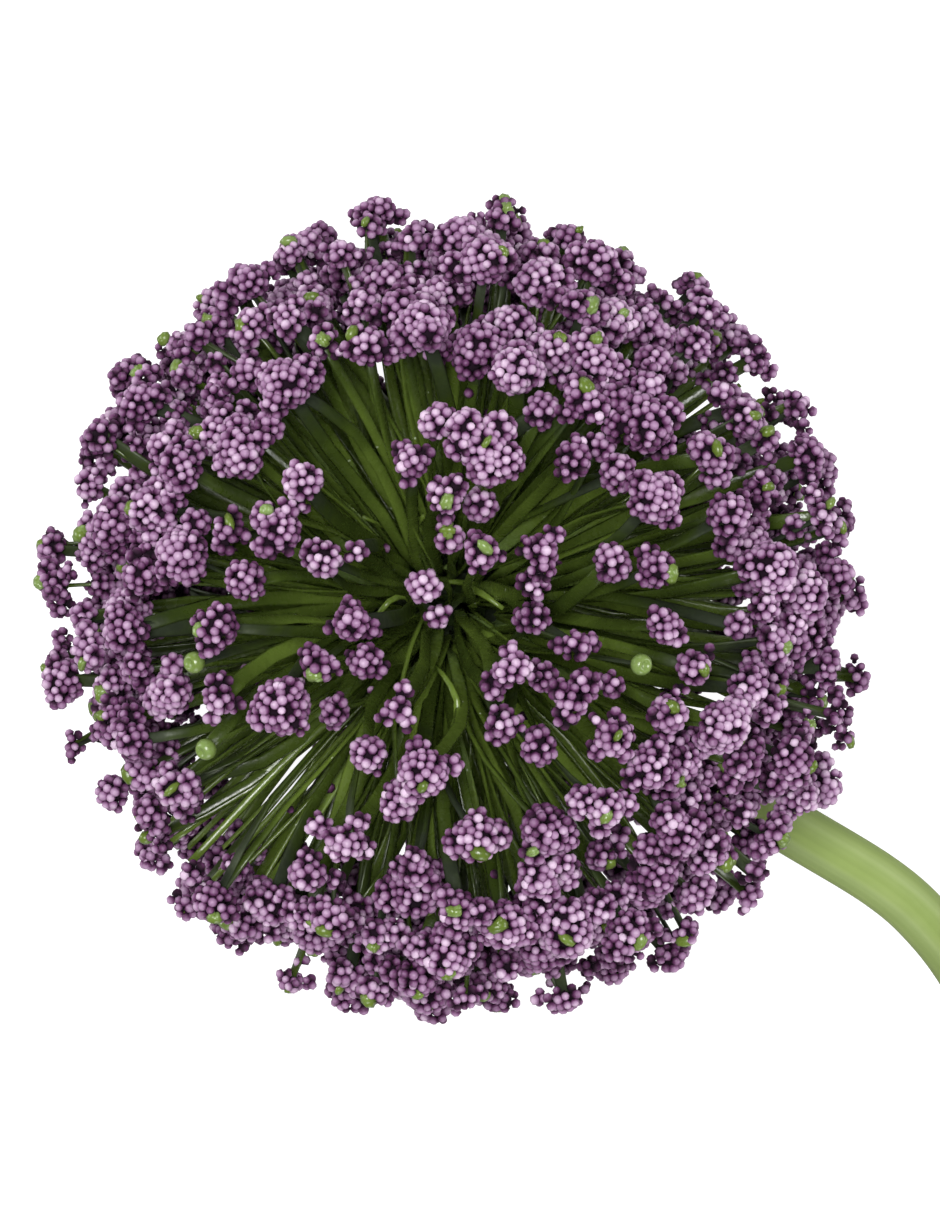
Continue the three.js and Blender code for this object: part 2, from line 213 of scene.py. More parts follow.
def add_light(name, place, size, power):
    """A soft square light that faces the hub."""
    light = bpy.data.lights.new(name, "AREA")
    light.size = size
    light.energy = power
    holder = bpy.data.objects.new(name, light)
    holder.location = HUB + Vector(place)
    holder.rotation_mode = "QUATERNION"
    holder.rotation_quaternion = Vector(place).to_track_quat("Z", "Y")
    bpy.context.scene.collection.objects.link(holder)


def glow_differently(tree, strength, levels):
    """Links a strength to one level for the light given and to another as the camera sees it."""
    seen = tree.nodes.new("ShaderNodeLightPath").outputs["Is Camera Ray"]
    glow = tree.nodes.new("ShaderNodeMapRange")
    glow.inputs["To Min"].default_value, glow.inputs["To Max"].default_value = levels
    tree.links.new(seen, glow.inputs["Value"])
    tree.links.new(glow.outputs["Result"], strength)


def add_surroundings():
    """A white backdrop and a pale floor, which light the object much less than they show."""
    world = bpy.data.worlds.new("studio")
    world.use_nodes = True
    background = world.node_tree.nodes["Background"]
    background.inputs["Color"].default_value = (1, 1, 1, 1)
    glow_differently(world.node_tree, background.inputs["Strength"], BACKDROP_LEVELS)
    bpy.context.scene.world = world

    material = bpy.data.materials.new("pale_floor")
    material.use_nodes = True
    shader = material.node_tree.nodes["Principled BSDF"]
    shader.inputs["Base Color"].default_value = (FLOOR_GREY, FLOOR_GREY, FLOOR_GREY, 1)
    shader.inputs["Roughness"].default_value = 0.9
    shader.inputs["Specular IOR Level"].default_value = 0
    shader.inputs["Emission Color"].default_value = (1, 1, 1, 1)
    glow_differently(material.node_tree, shader.inputs["Emission Strength"], FLOOR_LEVELS)
    shape = bmesh.new()
    bmesh.ops.create_grid(shape, x_segments=1, y_segments=1, size=FLOOR_HALF)
    mesh = bpy.data.meshes.new("floor")
    shape.to_mesh(mesh)
    shape.free()
    mesh.materials.append(material)
    floor = bpy.data.objects.new("floor", mesh)
    bpy.context.scene.collection.objects.link(floor)

    scene = bpy.context.scene
    scene.view_settings.view_transform = "Standard"
    scene.view_settings.look = "None"


add_camera()
for light in LIGHTS:
    add_light(*light)
add_surroundings()

# ---------------------------------------------------------------- materials


def start_material(name, roughness):
    """A material, its node tree and its Principled shader."""
    material = bpy.data.materials.new(name)
    material.use_nodes = True
    tree = material.node_tree
    shader = tree.nodes["Principled BSDF"]
    shader.inputs["Roughness"].default_value = roughness
    return material, tree, shader


def add_node(tree, kind, values=None, links=None):
    """A node with numbers on some of its inputs and links into others."""
    node = tree.nodes.new(kind)
    for key, value in (values or {}).items():
        node.inputs[key].default_value = value
    for key, socket in (links or {}).items():
        tree.links.new(socket, node.inputs[key])
    return node


def add_ramp(tree, stops, fac):
    """A colour ramp through the stops, each a place and a colour."""
    node = add_node(tree, "ShaderNodeValToRGB", links={"Fac": fac})
    points = node.color_ramp.elements
    while len(points) < len(stops):
        points.new(0.5)
    for point, (place, colour) in zip(points, stops):
        point.position = place
        point.color = (*colour, 1)
    return node.outputs["Color"]


def attribute(tree, name):
    """A value that the mesh carries on its points."""
    node = tree.nodes.new("ShaderNodeAttribute")
    node.attribute_name = name
    return node.outputs["Fac"]


def rescale(tree, value, old, new):
    """Maps a value from one range to another, clamped at its ends."""
    node = add_node(tree, "ShaderNodeMapRange", {
        "From Min": old[0], "From Max": old[1], "To Min": new[0], "To Max": new[1],
    }, {"Value": value})
    return node.outputs["Result"]


def math_node(tree, operation, first, second):
    """The sum, product or the like of two sockets or numbers."""
    node = tree.nodes.new("ShaderNodeMath")
    node.operation = operation
    for socket, value in zip(node.inputs, (first, second)):
        if isinstance(value, (int, float)):
            socket.default_value = value
        else:
            tree.links.new(value, socket)
    return node.outputs[0]


def make_mottle_group():
    """Soft cloudy variation: a value is moved up and down over the surface."""
    group = bpy.data.node_groups.new("mottle", "ShaderNodeTree")
    for name, kind, way in (
        ("Value", "NodeSocketFloat", "INPUT"),
        ("Scale", "NodeSocketFloat", "INPUT"),
        ("Amount", "NodeSocketFloat", "INPUT"),
        ("Value", "NodeSocketFloat", "OUTPUT"),
    ):
        group.interface.new_socket(name, in_out=way, socket_type=kind)
    inlet = group.nodes.new("NodeGroupInput")
    outlet = group.nodes.new("NodeGroupOutput")
    coordinates = group.nodes.new("ShaderNodeTexCoord")
    noise = add_node(group, "ShaderNodeTexNoise", {"Detail": 3, "Roughness": 0.6}, {
        "Vector": coordinates.outputs["Object"],
        "Scale": inlet.outputs["Scale"],
    })
    centred = math_node(group, "SUBTRACT", noise.outputs["Fac"], 0.5)
    moved = math_node(group, "MULTIPLY", centred, inlet.outputs["Amount"])
    total = math_node(group, "ADD", inlet.outputs["Value"], moved)
    group.links.new(total, outlet.inputs["Value"])
    return group


MOTTLE = make_mottle_group()


def mottled(tree, value, scale, amount):
    """A socket or number with soft cloudy variation."""
    node = tree.nodes.new("ShaderNodeGroup")
    node.node_tree = MOTTLE
    node.inputs["Scale"].default_value = scale
    node.inputs["Amount"].default_value = amount
    if isinstance(value, (int, float)):
        node.inputs["Value"].default_value = value
    else:
        tree.links.new(value, node.inputs["Value"])
    return node.outputs["Value"]


def add_bump(tree, shader, height, strength, distance):
    """Roughens the surface by a height."""
    node = add_node(tree, "ShaderNodeBump", {"Strength": strength, "Distance": distance}, {
        "Height": height,
    })
    tree.links.new(node.outputs["Normal"], shader.inputs["Normal"])


def add_glint_specks(tree, scale, size, share):
    """Small round specks for painted glints: a mask of one in the specks and nothing between them.
    """
    place = tree.nodes.new("ShaderNodeTexCoord").outputs["Object"]
    cells = add_node(tree, "ShaderNodeTexVoronoi", {"Scale": scale}, {"Vector": place})
    near = rescale(tree, cells.outputs["Distance"], (size * 0.7, size), (1, 0))
    picked = rescale(tree, cells.outputs["Color"], (1 - share, 1.01 - share), (0, 1))
    return math_node(tree, "MULTIPLY", near, picked)


def make_bead_material():
    """Mauve foam beads: each has its own tint, a cloudy bloom and a fine grain. The tints also
    carry painted highlight and shade.
    """
    material, tree, shader = start_material("mauve_beads", 0.45)
    tint = mottled(tree, attribute(tree, "tint"), 900, 0.25)
    colour = add_ramp(tree, (
        (0.0, (0.009, 0.002, 0.008)),
        (0.25, (0.034, 0.006, 0.027)),
        (0.5, (0.142, 0.047, 0.128)),
        (0.75, (0.38, 0.222, 0.37)),
        (1.0, (0.67, 0.505, 0.655)),
    ), tint)
    tree.links.new(colour, shader.inputs["Base Color"])
    tree.links.new(rescale(tree, tint, (0, 0.4), (1, 0.45)), shader.inputs["Roughness"])
    shader.inputs["Specular IOR Level"].default_value = 0.27
    grain = mottled(tree, 0.5, 3200, 1)
    add_bump(tree, shader, grain, 0.25, 0.00012)
    return material


def make_pedicel_material():
    """Glossy moulded green, pale on the nubs; painted shade under the florets and by the hub,
    painted glints.
    """
    material, tree, shader = start_material("glossy_green", 0.3)
    reach = mottled(tree, attribute(tree, "reach"), 260, 0.35)
    colour = add_ramp(tree, (
        (0.0, (0.009, 0.0165, 0.003)),
        (0.3, (0.052, 0.08, 0.012)),
        (0.7, (0.132, 0.195, 0.03)),
        (1.0, (0.25, 0.36, 0.13)),
    ), reach)
    # Pale specks near the hub: painted glints on the glossy blades.
    inner = rescale(tree, attribute(tree, "reach"), (0.5, 0.62), (0, 1))
    specks = math_node(tree, "MULTIPLY", add_glint_specks(tree, 620, 0.13, 0.3), inner)
    mix = tree.nodes.new("ShaderNodeMix")
    mix.data_type = "RGBA"
    tree.links.new(specks, mix.inputs["Factor"])
    tree.links.new(colour, mix.inputs["A"])
    mix.inputs["B"].default_value = (0.62, 0.7, 0.5, 1)
    tree.links.new(mix.outputs["Result"], shader.inputs["Base Color"])
    rough = mottled(tree, rescale(tree, reach, (0, 0.2), (0.85, 0.27)), 700, 0.32)
    tree.links.new(rough, shader.inputs["Roughness"])
    add_bump(tree, shader, mottled(tree, 0.5, 1100, 1), 0.3, 0.0002)
    return material


def make_receptacle_material():
    """Deep dull green, with a rough skin."""
    material, tree, shader = start_material("dull_green", 0.85)
    colour = add_ramp(tree, (
        (0.0, (0.005, 0.01, 0.002)),
        (1.0, (0.022, 0.036, 0.008)),
    ), mottled(tree, 0.5, 420, 1.6))
    tree.links.new(colour, shader.inputs["Base Color"])
    shader.inputs["Specular IOR Level"].default_value = 0.08
    add_bump(tree, shader, mottled(tree, 0.5, 1400, 1), 0.5, 0.0003)
    return material


def make_stem_material():
    """Satin light green, with faint lengthwise streaks and cloudy patches."""
    material, tree, shader = start_material("satin_stem", 0.5)
    streak = mottled(tree, mottled(tree, attribute(tree, "streak"), 130, 0.35), 38, 0.5)
    colour = add_ramp(tree, (
        (0.0, (0.176, 0.248, 0.065)),
        (0.5, (0.257, 0.343, 0.097)),
        (1.0, (0.35, 0.437, 0.157)),
    ), streak)
    tree.links.new(colour, shader.inputs["Base Color"])
    shader.inputs["Specular IOR Level"].default_value = 0.35
    add_bump(tree, shader, mottled(tree, 0.5, 1500, 1), 0.15, 0.0002)
    return material


BEAD_MATERIAL = make_bead_material()
PEDICEL_MATERIAL = make_pedicel_material()
RECEPTACLE_MATERIAL = make_receptacle_material()
STEM_MATERIAL = make_stem_material()

# ---------------------------------------------------------------- shapes that repeat


def shape_from(bm, name, attribute_name):
    """Keeps a shape to be copied many times, with a value on each of its points."""
    mesh = bpy.data.meshes.new(name)
    bm.to_mesh(mesh)
    bm.free()
    mesh.attributes.new(attribute_name, "FLOAT", "POINT")
    return mesh


def make_ball(name, attribute_name, around, down):
    """A plain unit ball."""
    bm = bmesh.new()
    bmesh.ops.create_uvsphere(bm, u_segments=around, v_segments=down, radius=1)
    return shape_from(bm, name, attribute_name)


def make_bead(name, around, swell):
    """A unit bead of two rings, half a step apart, rounder on its outer side, which is up."""
    bm = bmesh.new()
    bmesh.ops.create_uvsphere(bm, u_segments=around, v_segments=3, radius=1)
    for vert in bm.verts:
        x, y, z = vert.co
        if abs(z) < 0.9:
            angle = UPPER_RING if z > 0 else LOWER_RING
            turn = math.atan2(y, x) + (math.pi / around if z > 0 else 0)
            level = math.sin(angle)
            vert.co = (level * math.cos(turn), level * math.sin(turn), math.cos(angle))
        vert.co *= swell
    bmesh.ops.triangulate(bm, faces=bm.faces, quad_method="SHORT_EDGE")
    return shape_from(bm, name, "tint")


def make_strap(steps):
    """A straight strap, one unit up and one unit to each side, channelled down both faces."""
    bm = bmesh.new()
    bmesh.ops.create_cone(
        bm, cap_ends=True, segments=STRAP_SIDES, radius1=1, radius2=1, depth=1,
        matrix=Matrix.Translation((0, 0, 0.5)),
    )
    upright = [edge for edge in bm.edges if abs(edge.verts[0].co.z - edge.verts[1].co.z) > 0.5]
    bmesh.ops.subdivide_edges(bm, edges=upright, cuts=steps - 1, use_grid_fill=True)
    for vert in bm.verts:
        if abs(vert.co.x) < 0.1:
            vert.co.y *= STRAP_CHANNEL
    return shape_from(bm, "strap", "reach")


BEAD = make_bead("bead", 7, 1.03)
INNER_BEAD = make_bead("inner_bead", 5, 1.05)
CORE = make_ball("core", "tint", 6, 3)
NUB = make_ball("nub", "reach", 7, 4)
STRAP = make_strap(STRAP_STEPS)
LONG_STRAP = make_strap(LONG_STRAP_STEPS)


def stamp(bm, shape, matrix, values):
    """Adds a moved copy of a shape. Its points take the values, one each or one for all."""
    copy = shape.copy()
    copy.transform(matrix)
    if isinstance(values, float):
        values = [values] * len(copy.vertices)
    copy.attributes[shape["carries"]].data.foreach_set("value", values)
    bm.from_mesh(copy)
    bpy.data.meshes.remove(copy)


for repeated, carried in ((BEAD, "tint"), (INNER_BEAD, "tint"), (CORE, "tint"), (NUB, "reach")):
    repeated["carries"] = carried


def curve_points(points, count):
    """Evenly spaced points on a smooth curve through the given ones."""
    ends = [points[0] * 2 - points[1], *points, points[-1] * 2 - points[-2]]
    dense = []
    for a, b, c, d in zip(ends, ends[1:], ends[2:], ends[3:]):
        for i in range(24):
            t = i / 24
            dense.append(0.5 * (
                2 * b + (c - a) * t + (2 * a - 5 * b + 4 * c - d) * t * t
                + (3 * b - a - 3 * c + d) * t * t * t
            ))
    dense.append(points[-1])
    run = [0.0]
    for a, b in zip(dense, dense[1:]):
        run.append(run[-1] + (b - a).length)
    even = []
    j = 0
    for i in range(count):
        goal = run[-1] * i / (count - 1)
        while j < len(run) - 2 and run[j + 1] < goal:
            j += 1
        share = (goal - run[j]) / (run[j + 1] - run[j])
        even.append(dense[j].lerp(dense[j + 1], share))
    return even


def frames_along(points, facing, twist=0.0):
    """At each point of a route: the point, and the directions across it and out of its face."""
    frames = []
    for i, point in enumerate(points):
        ahead = points[min(i + 1, len(points) - 1)] - points[max(i - 1, 0)]
        ahead.normalize()
        out = facing - ahead * facing.dot(ahead)
        out.normalize()
        out = Quaternion(ahead, twist * i / (len(points) - 1)) @ out
        frames.append((point, ahead.cross(out), out))
    return frames


def add_strap(bm, strap, route, facing, twist, width, thickness, reach, tip=1.0):
    """Bends a strap along a route. It is narrower where it starts, and tip is its end's width.

    The three values in reach are for its start, its middle and its end.
    """
    steps = LONG_STRAP_STEPS if strap is LONG_STRAP else STRAP_STEPS
    frames = frames_along(curve_points(route, steps + 1), facing, twist)
    copy = strap.copy()
    values = []
    for vert in copy.vertices:
        x, y, z = vert.co
        place, across, out = frames[round(z * steps)]
        widening = STRAP_START_WIDTH + (1 - STRAP_START_WIDTH) * min(1, z * 3)
        wide = width / 2 * widening * (1 + (tip - 1) * max(0, z - 0.5) * 2)
        vert.co = place + across * x * wide + out * y * thickness / 2
        values.append(reach[1] + (reach[2 if z > 0.5 else 0] - reach[1]) * abs(2 * z - 1))
    copy.attributes["reach"].data.foreach_set("value", values)
    bm.from_mesh(copy)
    bpy.data.meshes.remove(copy)
    return frames


# ---------------------------------------------------------------- pieces


def finish_piece(name, bm, material, node):
    """Makes a named piece that stands for a CAD node, with nothing below the surface."""
    mesh = bpy.data.meshes.new(name)
    for vert in bm.verts:
        vert.co.z = max(vert.co.z, 0)
    bm.to_mesh(mesh)
    bm.free()
    mesh.shade_smooth()
    mesh.materials.append(material)
    obj = bpy.data.objects.new(name, mesh)
    bpy.context.scene.collection.objects.link(obj)
    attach(obj, "root")
    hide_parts(node)


def read_florets(node):
    """The florets of a spray: the centre, radius and outward axis of each, from its solid."""
    bm = bmesh.new()
    bm.from_mesh(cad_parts[node].data)
    bmesh.ops.remove_doubles(bm, verts=bm.verts, dist=1e-6)
    florets = []
    for vert in bm.verts:
        ring = [edge.other_vert(vert) for edge in vert.link_edges]
        reach = (vert.co - HUB).length
        if reach < 30 * MM or any((other.co - HUB).length > reach for other in ring):
            continue
        centre = sum((other.co for other in ring), Vector()) / len(ring)
        florets.append((centre, (vert.co - centre).length, (vert.co - centre).normalized()))
    bm.free()
    florets.sort(key=lambda floret: tuple(floret[0]))
    return florets


def lobes_of(radius, axis, out, chance):
    """The rounded lobes that a floret's beads cover: places from its centre, and radii."""
    if radius < SMALL_FLORET:
        side = random_turn(chance) @ axis * radius * 0.25
        return [(side, radius * SMALL_SPREAD), (-side, radius * (SMALL_SPREAD - 0.08))]
    loss = sum(slope * max(0, out - start) for start, slope in SPREAD_LOSSES)
    spread = radius * (LOBED_SPREAD - loss)
    main = spread * chance.uniform(*MAIN_LOBE_SIZES)
    lobes = [(axis * spread * chance.uniform(0, 0.18), main)]
    count = chance.choice((3, 3, 4, 5)) if radius > BIG_FLORET else chance.choice((2, 3, 3))
    turn = chance.uniform(0, 2 * math.pi)
    across = axis.orthogonal().normalized()
    for i in range(count):
        bearing = turn + (i + chance.uniform(-0.25, 0.25)) * 2 * math.pi / count
        side = Quaternion(axis, bearing) @ across
        direction = (side + axis * chance.uniform(-0.45, 0.7)).normalized()
        size = spread * chance.uniform(*LOBE_SIZES)
        lobes.append((direction * (spread * chance.uniform(0.88, 1.1) - size), size))
    if out > SIDE_LOBE_FROM and chance.random() < SIDE_LOBE_SHARE:
        side = UP.cross(axis).normalized() * chance.choice((-1, 1)) - axis * 0.2
        middle = side * spread * chance.uniform(0.75, 1)
        lobes.append((middle, spread * chance.uniform(*SIDE_LOBE_SIZES)))
    for start, reach in BACK_LOBES:
        if out > start:
            back = Quaternion(axis, chance.uniform(0, 2 * math.pi)) @ across * 0.22 - axis
            reach += chance.uniform(0, 0.3)
            lobes.append((back * spread * reach, spread * chance.uniform(*BACK_LOBE_SIZES)))
    return lobes


def random_turn(chance):
    """A turn by any angle about any axis."""
    axis = Vector((chance.gauss(0, 1), chance.gauss(0, 1), chance.gauss(0, 1))).normalized()
    return Quaternion(axis, chance.uniform(0, 2 * math.pi))


def bead_places(lobes, axis, nub, chance):
    """Where a floret's beads sit, from its centre: close-set over its lobes, clear of its nub.

    The first pass sets them evenly. The second fills the holes that are left where lobes meet.
    """
    places = []
    for packing, spacing in BEAD_PASSES:
        for lobe, (middle, radius) in enumerate(lobes):
            shell = max(radius - BEAD_SIZE / 2, BEAD_SIZE * 0.45)
            count = max(5, round(packing * 4 * math.pi * (shell / BEAD_PITCH) ** 2))
            turn = random_turn(chance)
            for i in range(count):
                height = 1 - 2 * (i + 0.5) / count
                level = math.sqrt(1 - height ** 2)
                around = i * GOLDEN_ANGLE
                flat = Vector((math.cos(around) * level, math.sin(around) * level, height))
                direction = turn @ flat
                place = middle + direction * (shell + chance.uniform(-0.1, 0.14) * MM)
                place += Vector([chance.uniform(-0.07, 0.07) * MM for _ in range(3)])
                buried = any(
                    (place - other).length < size - BEAD_SIZE * 0.6
                    for j, (other, size) in enumerate(lobes) if j != lobe
                )
                hides_nub = nub and (place - nub[0]).length < nub[1] * 0.75 + BEAD_SIZE * 0.2
                bare = middle.dot(axis) > -0.5 * radius and place.angle(axis, 0) > BEADED_TO
                if buried or hides_nub or bare:
                    continue
                if all((place - other).length > BEAD_PITCH * spacing for other, _ in places):
                    places.append((place, direction))
    return places


def add_beads(bm, centre, places, chance):
    """Stamps beads, each of its own size and tint, with painted shade on those that face the hub.
    None goes through the surface below.
    """
    shade = chance.uniform(*FLORET_TINTS)
    for place, outward in places:
        size = BEAD_SIZE / 2 * chance.uniform(*BEAD_SPREAD)
        spot = centre + place
        if spot.z < 0:
            continue
        spot.z = max(spot.z, size)
        # Painted shade on beads that face the hub, painted light on those that face out.
        facing = outward.dot((spot - HUB).normalized()) - OUTWARD_LEVEL
        tint = chance.gauss(shade, TINT_SPREAD) + INWARD_SHADING * facing
        tint = min(max(tint, BEAD_TINTS[0]), BEAD_TINTS[1])
        if chance.random() < FROSTED_SHARE:
            tint = FROSTED_TINT
        turn = UP.rotation_difference(outward)
        bead = BEAD if place.dot(spot - HUB) > 0 else INNER_BEAD
        # Painted highlight on each bead's outer end and painted shade towards its inner side.
        tints = [tint + BEAD_SHADING * vert.co.z for vert in bead.vertices]
        stamp(bm, bead, Matrix.LocRotScale(spot, turn, Vector((size,) * 3)), tints)


def add_knob(bm, centre, radius, axis):
    """A bare floret: a pale round knob with a dimple in its end."""
    knob = bmesh.new()
    profile = [
        knob.verts.new((radius * across, 0, radius * along)) for across, along in KNOB_PROFILE
    ]
    edges = [knob.edges.new(pair) for pair in zip(profile, profile[1:])]
    bmesh.ops.spin(
        knob, geom=profile + edges, cent=(0, 0, 0), axis=(0, 0, 1), angle=2 * math.pi,
        steps=16, use_merge=True,
    )
    bmesh.ops.remove_doubles(knob, verts=knob.verts, dist=1e-6)
    bmesh.ops.recalc_face_normals(knob, faces=knob.faces)
    turn = UP.rotation_difference(axis).to_matrix().to_4x4()
    bmesh.ops.transform(knob, matrix=Matrix.Translation(centre) @ turn, verts=knob.verts)
    shape = shape_from(knob, "knob", "reach")
    shape.attributes["reach"].data.foreach_set("value", [KNOB_TONE] * len(shape.vertices))
    bm.from_mesh(shape)
    bpy.data.meshes.remove(shape)


def add_foot(bm, direction):
    """The rounded block that a spray's pedicels grow from."""
    foot = bmesh.new()
    bmesh.ops.create_cone(
        foot, cap_ends=True, segments=14, radius1=FOOT_RADIUS * 1.05, radius2=FOOT_RADIUS * 0.9,
        depth=FOOT_LENGTH, matrix=Matrix.Translation((0, 0, FOOT_LENGTH / 2)),
    )
    rims = [edge for edge in foot.edges if abs(edge.verts[0].co.z - edge.verts[1].co.z) < 1e-6]
    bmesh.ops.bevel(
        foot, geom=rims, offset=0.3 * MM, segments=2, profile=0.5, affect="EDGES", material=-1,
    )
    turn = UP.rotation_difference(direction).to_matrix().to_4x4()
    place = Matrix.Translation(HUB + direction * FOOT_REACH)
    bmesh.ops.transform(foot, matrix=place @ turn, verts=foot.verts)
    shape = shape_from(foot, "foot", "reach")
    bm.from_mesh(shape)
    bpy.data.meshes.remove(shape)


def add_pedicel(bm, floret, chance, bows):
    """A strap from the foot to the middle of a floret, bowed and twisted within limits."""
    centre, _, axis = floret
    back = centre - HUB
    along = back.dot(axis)
    run = along - math.sqrt(max(along ** 2 - back.length_squared + START_REACH ** 2, 0))
    start = centre - axis * run
    side = Quaternion(axis, chance.uniform(0, 2 * math.pi)) @ axis.orthogonal().normalized()
    bow = side * chance.uniform(*bows) * MM
    sway = axis.cross(side) * chance.uniform(-PEDICEL_SWAY, PEDICEL_SWAY)
    route = [
        start, start.lerp(centre, 0.33) + bow * 0.8 + sway, start.lerp(centre, 0.68) + bow - sway,
        centre,
    ]
    facing = Quaternion(axis, chance.uniform(0, 2 * math.pi)) @ side
    tone = chance.uniform(*PEDICEL_TONES)
    # The strap darkens towards its floret: painted shade under the floret.
    return add_strap(
        bm, STRAP, route, facing, chance.uniform(-PEDICEL_TWIST, PEDICEL_TWIST),
        chance.uniform(*PEDICEL_WIDTHS) * MM, chance.uniform(*PEDICEL_THICKNESSES) * MM,
        (0.82 + tone, 0.66 + tone, chance.uniform(-0.15, 0.25)),
    )


def add_nub(greens, centre, nub, chance):
    """The pale tip of a pedicel, showing between the beads."""
    place, size = nub
    turn = UP.rotation_difference(place.normalized()).to_matrix().to_4x4()
    tone = chance.uniform(*NUB_TONES)
    for i in range(chance.choice((1, 2, 3))):
        lean = Matrix.Rotation(chance.uniform(-0.5, 0.5), 4, "X")
        spin = Matrix.Rotation(chance.uniform(0, math.pi), 4, "Z")
        shift = Matrix.Translation((chance.uniform(-0.2, 0.2) * MM, 0, -0.12 * i * MM))
        scale = Matrix.Diagonal((size * chance.uniform(0.45, 0.85), size * 1.25, size * 0.8, 1))
        matrix = Matrix.Translation(centre + place) @ turn @ spin @ lean @ shift @ scale
        stamp(greens, NUB, matrix, tone + 0.06 * i)


def make_spray(node, number):
    """The two pieces of a spray: its green pedicels on their foot, and its beads."""
    chance = random.Random(number)
    greens = bmesh.new()
    beads = bmesh.new()
    starts = Vector()
    for floret in read_florets(node):
        centre, radius, axis = floret
        frames = add_pedicel(greens, floret, chance, PEDICEL_BOWS)
        starts += frames[0][0] - HUB
        if chance.random() < SECOND_STRAP_SHARE:
            add_pedicel(greens, floret, chance, SECOND_BOWS)
        if radius < KNOB_RADIUS:
            add_knob(greens, centre, radius * 1.05, axis)
            continue
        lobes = lobes_of(radius, axis, (centre - HUB).xy.length, chance)
        nub = None
        if chance.random() < NUB_SHARE * (0.4 if radius < SMALL_FLORET * 1.15 else 1):
            turn = Quaternion(axis, chance.uniform(0, 2 * math.pi))
            side = turn @ axis.orthogonal().normalized()
            place = (axis + side * chance.uniform(0.2, 1.1)).normalized()
            size = chance.uniform(*NUB_SIZES)
            hold = max(middle.dot(place) + size_of for middle, size_of in lobes)
            nub = (place * (hold - size * 0.8), size)
            add_nub(greens, centre, nub, chance)
        # Cores under the lobes, near-black as painted shade in the gaps between the beads.
        for middle, size in lobes:
            core = max(size - BEAD_SIZE * 0.8, BEAD_SIZE * 0.3)
            matrix = Matrix.LocRotScale(centre + middle, None, Vector((core,) * 3))
            stamp(beads, CORE, matrix, CORE_SHADE_TINT)
        places = bead_places(lobes, axis, nub, chance)
        add_beads(beads, centre, places, chance)
        if chance.random() < STRAY_SHARE:
            place, _, out = frames[chance.randint(2, STRAP_STEPS - 1)]
            add_beads(beads, place, [(out * 0.75 * MM, out)], chance)
    add_foot(greens, starts.normalized())
    finish_piece(f"{node}_pedicels", greens, PEDICEL_MATERIAL, node)
    finish_piece(f"{node}_beads", beads, BEAD_MATERIAL, node)


def make_receptacle():
    """The ball that the sprays are set on, with a short neck into the stem."""
    bm = bmesh.new()
    neck_angle = math.asin(NECK_RADIUS / RECEPTACLE_RADIUS)
    points = [
        (0, -NECK_REACH), (NECK_RADIUS * 0.85, -NECK_REACH), (NECK_RADIUS, -NECK_REACH * 0.97),
    ]
    for i in range(19):
        angle = neck_angle + (math.pi - neck_angle) * i / 18
        across = RECEPTACLE_RADIUS * math.sin(angle) if i < 18 else 0
        points.append((across, -RECEPTACLE_RADIUS * math.cos(angle)))
    profile = [bm.verts.new((across, 0, along)) for across, along in points]
    edges = [bm.edges.new(pair) for pair in zip(profile, profile[1:])]
    bmesh.ops.spin(
        bm, geom=profile + edges, cent=(0, 0, 0), axis=(0, 0, 1), angle=2 * math.pi,
        steps=36, use_merge=True,
    )
    bmesh.ops.remove_doubles(bm, verts=bm.verts, dist=1e-6)
    bmesh.ops.recalc_face_normals(bm, faces=bm.faces)
    turn = UP.rotation_difference(-STEM_DIRECTION).to_matrix().to_4x4()
    bmesh.ops.transform(bm, matrix=Matrix.Translation(HUB) @ turn, verts=bm.verts)
    shape = shape_from(bm, "receptacle", "reach")
    bm = bmesh.new()
    bm.from_mesh(shape)
    finish_piece("receptacle_ball", bm, RECEPTACLE_MATERIAL, "receptacle")


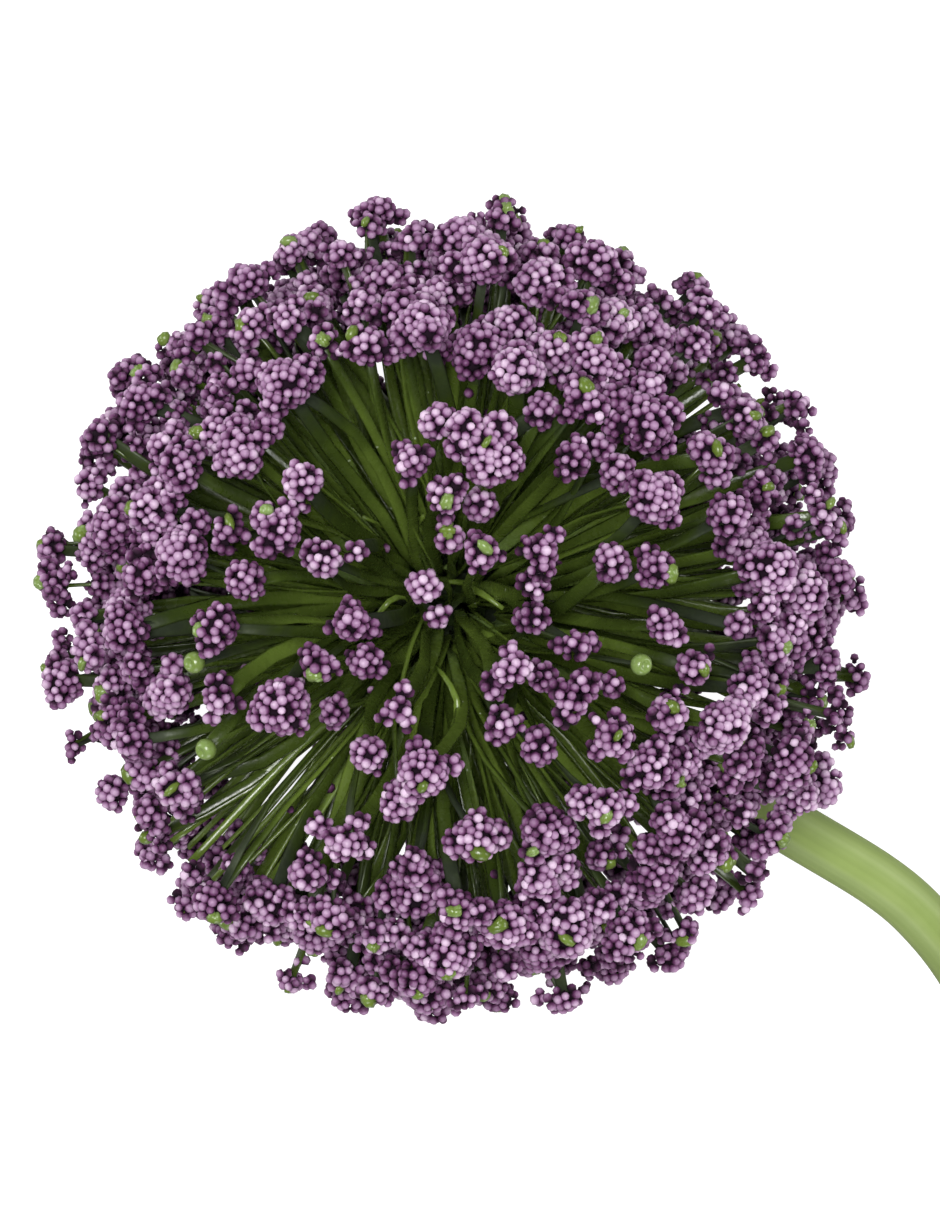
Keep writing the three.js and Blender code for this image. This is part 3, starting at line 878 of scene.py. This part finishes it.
def make_bare_blades():
    """Blades and short shoots without a floret, which grow from the receptacle."""
    chance = random.Random(7)
    bm = bmesh.new()
    for width, points in BARE_BLADES:
        route = [HUB + Vector(point) * MM for point in points]
        lean = Vector((chance.uniform(-0.5, 0.5), chance.uniform(-0.5, 0.5), 0))
        add_strap(
            bm, LONG_STRAP, route, (UP + lean).normalized(), chance.uniform(-0.5, 0.5), width * MM,
            BLADE_THICKNESS, (0.5, 0.58, 0.66), 0.35,
        )
    for i in range(SHOOT_COUNT):
        height = 1 - 1.5 * (i + 0.5) / SHOOT_COUNT
        level = math.sqrt(1 - height ** 2)
        turn = i * GOLDEN_ANGLE
        direction = Vector((level * math.cos(turn), level * math.sin(turn), height))
        if direction.angle(STEM_DIRECTION) < STEM_CLEARANCE:
            continue
        side = Quaternion(direction, chance.uniform(0, 2 * math.pi)) @ direction.orthogonal()
        side.normalize()
        length = chance.uniform(*SHOOT_LENGTHS) * MM
        start = HUB + direction * ROOT_REACH
        bow = side * chance.uniform(1, 5) * MM
        middle = start + direction * length * 0.6 + bow * 0.3
        # Shoots are darkest where they start at the receptacle: painted shade at the hub.
        add_strap(
            bm, STRAP, [start, middle, start + direction * length + bow], side,
            chance.uniform(-0.8, 0.8), chance.uniform(1.2, 2.1) * MM, THIN_BLADE_THICKNESS,
            (0.2, 0.5, chance.uniform(0.5, 0.8)), 0.3,
        )
    for bearing, climb in FAN_BLADES:
        level = math.cos(math.radians(climb))
        direction = Vector((
            level * math.cos(math.radians(bearing)), level * math.sin(math.radians(bearing)),
            math.sin(math.radians(climb)),
        ))
        side = direction.cross(UP)
        bow = side * chance.uniform(-1.5, 1.5) * MM + UP * chance.uniform(0, 2) * MM
        start = HUB + direction * ROOT_REACH
        end = HUB + direction * FAN_REACH
        facing = (UP + side * 0.3).normalized()
        add_strap(
            bm, LONG_STRAP, [start, start.lerp(end, 0.5) + bow, end], facing,
            chance.uniform(-0.8, 0.8), chance.uniform(0.65, 1.15) * MM, THIN_BLADE_THICKNESS,
            (0.48, 0.54, chance.uniform(0.48, 0.66)),
        )
    finish_piece("bare_blades", bm, PEDICEL_MATERIAL, "receptacle")


def make_stem():
    """The stem: softly ribbed all along, with a plain cut end."""
    route = [HUB + STEM_DIRECTION * reach for reach in STEM_STARTS]
    route += [HUB + Vector(point) * MM for point in STEM_BEND]
    frames = frames_along(curve_points(route, STEM_STEPS + 1), UP)
    bm = bmesh.new()
    bmesh.ops.create_cone(
        bm, cap_ends=True, segments=STEM_SIDES, radius1=1, radius2=1, depth=1,
        matrix=Matrix.Translation((0, 0, 0.5)),
    )
    upright = [edge for edge in bm.edges if abs(edge.verts[0].co.z - edge.verts[1].co.z) > 0.5]
    bmesh.ops.subdivide_edges(bm, edges=upright, cuts=STEM_STEPS - 1, use_grid_fill=True)
    streak = bm.verts.layers.float.new("streak")
    for vert in bm.verts:
        x, y, z = vert.co
        turn = math.atan2(y, x)
        rib = 0.5 + 0.5 * math.cos(7 * turn + 0.6)
        fine = 0.5 + 0.5 * math.cos(23 * turn + 1.3 + 0.8 * math.sin(2 * turn))
        swell = STEM_SWELL * z * z
        radius = STEM_RADIUS + swell - (0.07 * rib + 0.02 * fine) * MM
        place, across, out = frames[round(z * STEM_STEPS)]
        place = place + UP * swell  # so its underside stays where it was
        vert[streak] = 0.62 - 0.14 * rib - 0.1 * fine
        vert.co = place + (across * math.cos(turn) + out * math.sin(turn)) * radius
    finish_piece("stem_ribbed", bm, STEM_MATERIAL, "stem")


sprays = sorted(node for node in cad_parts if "spray" in node)
for number, node in enumerate(sprays):
    make_spray(node, number)
make_receptacle()
make_bare_blades()
make_stem()
